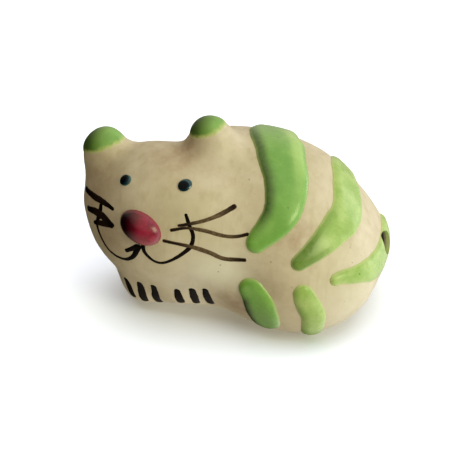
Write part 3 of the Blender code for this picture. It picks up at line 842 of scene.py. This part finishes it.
def ear_enamel():
    """Green that fades through yellow into bare clay at its lower edge."""
    f = Finish("ear_enamel", IOR=1.5, Coat_Weight=0.25, Coat_Roughness=0.3)
    clay, cloudy = clay_colour(f)
    fine = f.noise(0.35, 4.0, 0.65, offset=4.0)
    rim = f.math("ADD", f.attribute("rim"),
                 f.ramp(fine, 0.3, 0.7, -0.12, 0.12, smooth=False))
    green = f.mix(f.ramp(f.noise(1.2, 3.0), 0.35, 0.68), (0.47, 0.66, 0.28), (0.55, 0.73, 0.35))
    # darker to the ear's left: painted shade with thicker enamel
    green = f.mix(f.ramp(f.attribute("pooled_and_shaded"), 0.0, 0.55), green, (0.42, 0.58, 0.23))
    green = f.mix(f.ramp(f.attribute("pooled_and_shaded"), 0.45, 1.0), green, (0.26, 0.36, 0.13))
    colour = f.mix(f.ramp(rim, 0.0, 0.22), clay, (0.74, 0.78, 0.46))
    colour = f.mix(f.ramp(rim, 0.10, 0.50), colour, green)
    clay_relief(f)
    return f.done(colour, f.ramp(cloudy, 0.3, 0.7, 0.40, 0.50), coat_normal=True)


def crimson_enamel():
    f = Finish("crimson_enamel_fired", IOR=1.5, Specular_IOR_Level=0.3, Coat_Weight=0.6,
               Coat_Roughness=0.2)
    rim = f.attribute("rim")
    body = f.noise(0.9, 3.0, 0.6)
    colour = f.mix(f.ramp(body, 0.35, 0.68), (0.48, 0.02, 0.12), (0.61, 0.06, 0.21))
    fine = f.noise(0.22, 4.0, 0.7, offset=6.0)
    colour = f.mix(f.ramp(fine, 0.5, 0.8, 0.0, 0.2), colour, (0.76, 0.33, 0.42))
    # painted shade: the nose's left side near black
    colour = f.mix(f.attribute("pooled_and_shaded"), colour, (0.10, 0.005, 0.03))
    colour = f.mix(f.ramp(rim, 0.02, 0.30, 0.45, 0.0), colour, (0.66, 0.32, 0.36))
    f.bump(fine, 0.010, 0.5)
    return f.done(colour, f.ramp(fine, 0.3, 0.7, 0.22, 0.32), coat_normal=True)


def line_enamel(name, dark, thin, share):
    """Watery brush colour: it pools dark at the ends and thins to brown between them."""
    f = Finish(name, IOR=1.45, Specular_IOR_Level=0.08)
    along = f.attribute("along")
    streaks = f.noise(0.22, 3.0, 0.6, offset=8.0)
    middle = f.ramp(f.math("ABSOLUTE", f.math("SUBTRACT", along, 0.55)), 0.10, 0.42, 1.0, 0.0)
    wash = f.math("MULTIPLY", f.math("MULTIPLY", middle, f.ramp(streaks, 0.3, 0.65, 0.45, 1.0)),
                  share)
    colour = f.mix(wash, dark, thin)
    rim = f.attribute("rim")
    colour = f.mix(f.ramp(rim, 0.0, 0.07, 0.7, 0.0), colour, thin)
    f.bump(streaks, 0.012, 0.6)
    return f.done(colour, f.ramp(streaks, 0.3, 0.7, 0.34, 0.5), coat_normal=True)


def teal_enamel():
    f = Finish("teal_enamel_fired", IOR=1.5, Coat_Weight=0.6, Coat_Roughness=0.15)
    fine = f.noise(0.25, 3.0, 0.6)
    colour = f.mix(f.ramp(fine, 0.35, 0.7), (0.01, 0.18, 0.21), (0.04, 0.28, 0.31))
    colour = f.mix(f.ramp(f.attribute("rim"), 0.0, 0.12, 0.6, 0.0), colour, (0.40, 0.55, 0.47))
    f.bump(fine, 0.008, 0.5)
    return f.done(colour, f.ramp(fine, 0.3, 0.7, 0.2, 0.3), coat_normal=True)


def pupil_enamel():
    f = Finish("pupil_enamel", IOR=1.45, Specular_IOR_Level=0.12)
    fine = f.noise(0.25, 3.0, 0.6)
    colour = f.mix(f.ramp(fine, 0.35, 0.7), (0.01, 0.02, 0.03), (0.02, 0.05, 0.07))
    colour = f.mix(f.ramp(f.attribute("rim"), 0.0, 0.15, 0.8, 0.0), colour, (0.0, 0.18, 0.22))
    f.bump(fine, 0.008, 0.5)
    return f.done(colour, f.ramp(fine, 0.3, 0.7, 0.2, 0.3), coat_normal=True)


# ---- stage

# The room's broad soft lights: the direction each comes from, its strength and its tint.
WARM, WHITE, COOL = (1.0, 0.92, 0.75), (1.0, 1.0, 1.0), (0.2, 0.4, 1.0)
SOFT_LIGHTS = (
    ((0.2, -0.5, -0.8), 0.7, WARM),
    ((0.2, -0.5, 0.8), 0.7, WARM),
    ((-0.2, 0.5, 0.8), 0.6, WARM),
    ((0.2, 1.0, 0.0), 0.6, WARM),
    ((0.8, 0.25, -0.5), 1.1, WHITE),
    ((0.8, 0.25, 0.5), 0.4, COOL),
)
SOFT_LIGHT_EDGE = 0.35     # where a soft light has faded out, as the cosine of the angle


def build_stage():
    bm = bmesh.new()
    bmesh.ops.create_grid(bm, x_segments=8, y_segments=8, size=3.0)
    floor = object_from(bm, "floor")
    floor.location.z = -0.00002
    f = Finish("floor_paper", Roughness=0.9)
    colour = f.mix(f.noise(60.0, 2.0), (0.90, 0.92, 0.96), (0.91, 0.93, 0.97))
    floor.data.materials.append(f.done(colour))
    floor.visible_diffuse = floor.visible_glossy = floor.visible_shadow = False


def area_light(name, towards, distance, size, power, colour=(1.0, 1.0, 1.0)):
    """A softbox that looks at the cat from a direction."""
    middle = Vector((0.0, 0.0, 0.007))
    way = Vector(towards).normalized()
    data = bpy.data.lights.new(name, "AREA")
    data.shape = "RECTANGLE"
    data.size, data.size_y = size
    data.energy = power
    data.color = colour
    light = bpy.data.objects.new(name, data)
    bpy.context.scene.collection.objects.link(light)
    light.location = middle + way * distance
    light.rotation_mode = "QUATERNION"
    light.rotation_quaternion = (-way).to_track_quat("-Z", "Y")
    light.visible_camera = False
    return light


def build_world():
    """Adds the room's soft lights up into the world's background."""
    world = bpy.data.worlds.new("studio")
    bpy.context.scene.world = world
    world.use_nodes = True
    nodes, links = world.node_tree.nodes, world.node_tree.links
    background = nodes["Background"]
    place = nodes.new("ShaderNodeTexCoord")
    total = None
    for towards, strength, tint in SOFT_LIGHTS:
        along = nodes.new("ShaderNodeVectorMath")
        along.operation = "DOT_PRODUCT"
        along.inputs[1].default_value = Vector(towards).normalized()
        links.new(place.outputs["Generated"], along.inputs[0])
        level = nodes.new("ShaderNodeMapRange")
        level.interpolation_type = "SMOOTHSTEP"
        level.inputs[1].default_value = SOFT_LIGHT_EDGE
        level.inputs[2].default_value = 1.0
        links.new(along.outputs["Value"], level.inputs[0])
        share = nodes.new("ShaderNodeVectorMath")
        share.operation = "MULTIPLY_ADD"
        share.inputs[1].default_value = Vector(tint) * strength
        links.new(level.outputs[0], share.inputs[0])
        if total is None:
            share.inputs[2].default_value = (0.0, 0.0, 0.0)
        else:
            links.new(total, share.inputs[2])
        total = share.outputs[0]
    links.new(total, background.inputs[0])


def build_lights():
    area_light("key", (0.8, -0.35, 0.45), 0.34, (0.16, 0.16), 0.45, (1.0, 1.0, 0.6))
    area_light("ridge", (0.72, 0.69, 0.15), 0.34, (0.06, 0.16), 0.09, (1.0, 1.0, 0.90))
    wash = area_light("floor_wash", (0.0, -0.05, 1.0), 0.40, (0.5, 0.5), 2.0)
    lit = bpy.data.collections.new("floor_only")
    lit.objects.link(bpy.data.objects["floor"])
    wash.light_linking.receiver_collection = lit


def build_camera():
    azimuth, elevation, distance = math.radians(18.0), math.radians(33.0), 0.2
    target = Vector((-0.89, 0.65, 5.83)) * MM
    back = Vector((math.sin(azimuth) * math.cos(elevation),
                   -math.cos(azimuth) * math.cos(elevation), math.sin(elevation)))
    data = bpy.data.cameras.new("camera")
    data.sensor_width = 36.0
    data.lens = 202.0
    data.clip_start, data.clip_end = 0.01, 20.0
    camera = bpy.data.objects.new("camera", data)
    bpy.context.scene.collection.objects.link(camera)
    camera.location = target + back * distance
    camera.rotation_mode = "QUATERNION"
    camera.rotation_quaternion = (-back).to_track_quat("-Z", "Y")
    bpy.context.scene.camera = camera
    bpy.context.scene.view_settings.view_transform = "Standard"


# ---- the cat

def build_cat():
    clay, hole = build_clay()
    made = {**clay, **build_stripes(hole), **build_lines(), **build_drops()}
    bpy.data.objects.remove(hole)
    strong = green_enamel("green_enamel_fired", (0.38, 0.54, 0.20), (0.45, 0.66, 0.26),
                          (0.51, 0.71, 0.31), (0.20, 0.27, 0.09), mottle=0.3,
                          fringe=(0.66, 0.74, 0.42), coat=0.45)
    pale = green_enamel("pale_green_fired", (0.52, 0.64, 0.28), (0.60, 0.73, 0.35),
                        (0.70, 0.80, 0.46), (0.36, 0.49, 0.15), mottle=0.5,
                        fringe=(0.78, 0.82, 0.54))
    black = line_enamel("black_enamel_fired", (0.02, 0.012, 0.01), (0.16, 0.11, 0.07), 0.3)
    brown = line_enamel("brown_enamel_fired", (0.12, 0.08, 0.05), (0.48, 0.40, 0.29), 0.8)
    # a darker copy of the brown: painted shade for the whiskers on the face's shaded side
    shaded_brown = line_enamel("shaded_brown_fired", (0.03, 0.02, 0.015), (0.22, 0.15, 0.10), 0.4)
    finishes = {
        "cream_glaze": cream_glaze(), "green_enamel": strong, "pale_green_enamel": pale,
        "crimson_enamel": crimson_enamel(), "black_enamel": black, "brown_enamel": brown,
        "teal_enamel": teal_enamel(),
    }
    ears, pupils = ear_enamel(), pupil_enamel()
    slots = {s["node"]: s["material_slot"] for s in frame["record"]["subparts"]}
    for node, piece in made.items():
        metres(piece)
        finish = finishes[slots[node]]
        if node.startswith("ear_cap"):
            finish = ears
        elif node.startswith("pupil"):
            finish = pupils
        # the whiskers on the shaded side take the brown with painted shade
        elif node.startswith("whisker_right"):
            finish = shaded_brown
        piece.data.materials.clear()
        piece.data.materials.append(finish)
        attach(piece, "root")
        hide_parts(node)


build_stage()
build_world()
build_lights()
build_camera()
build_cat()
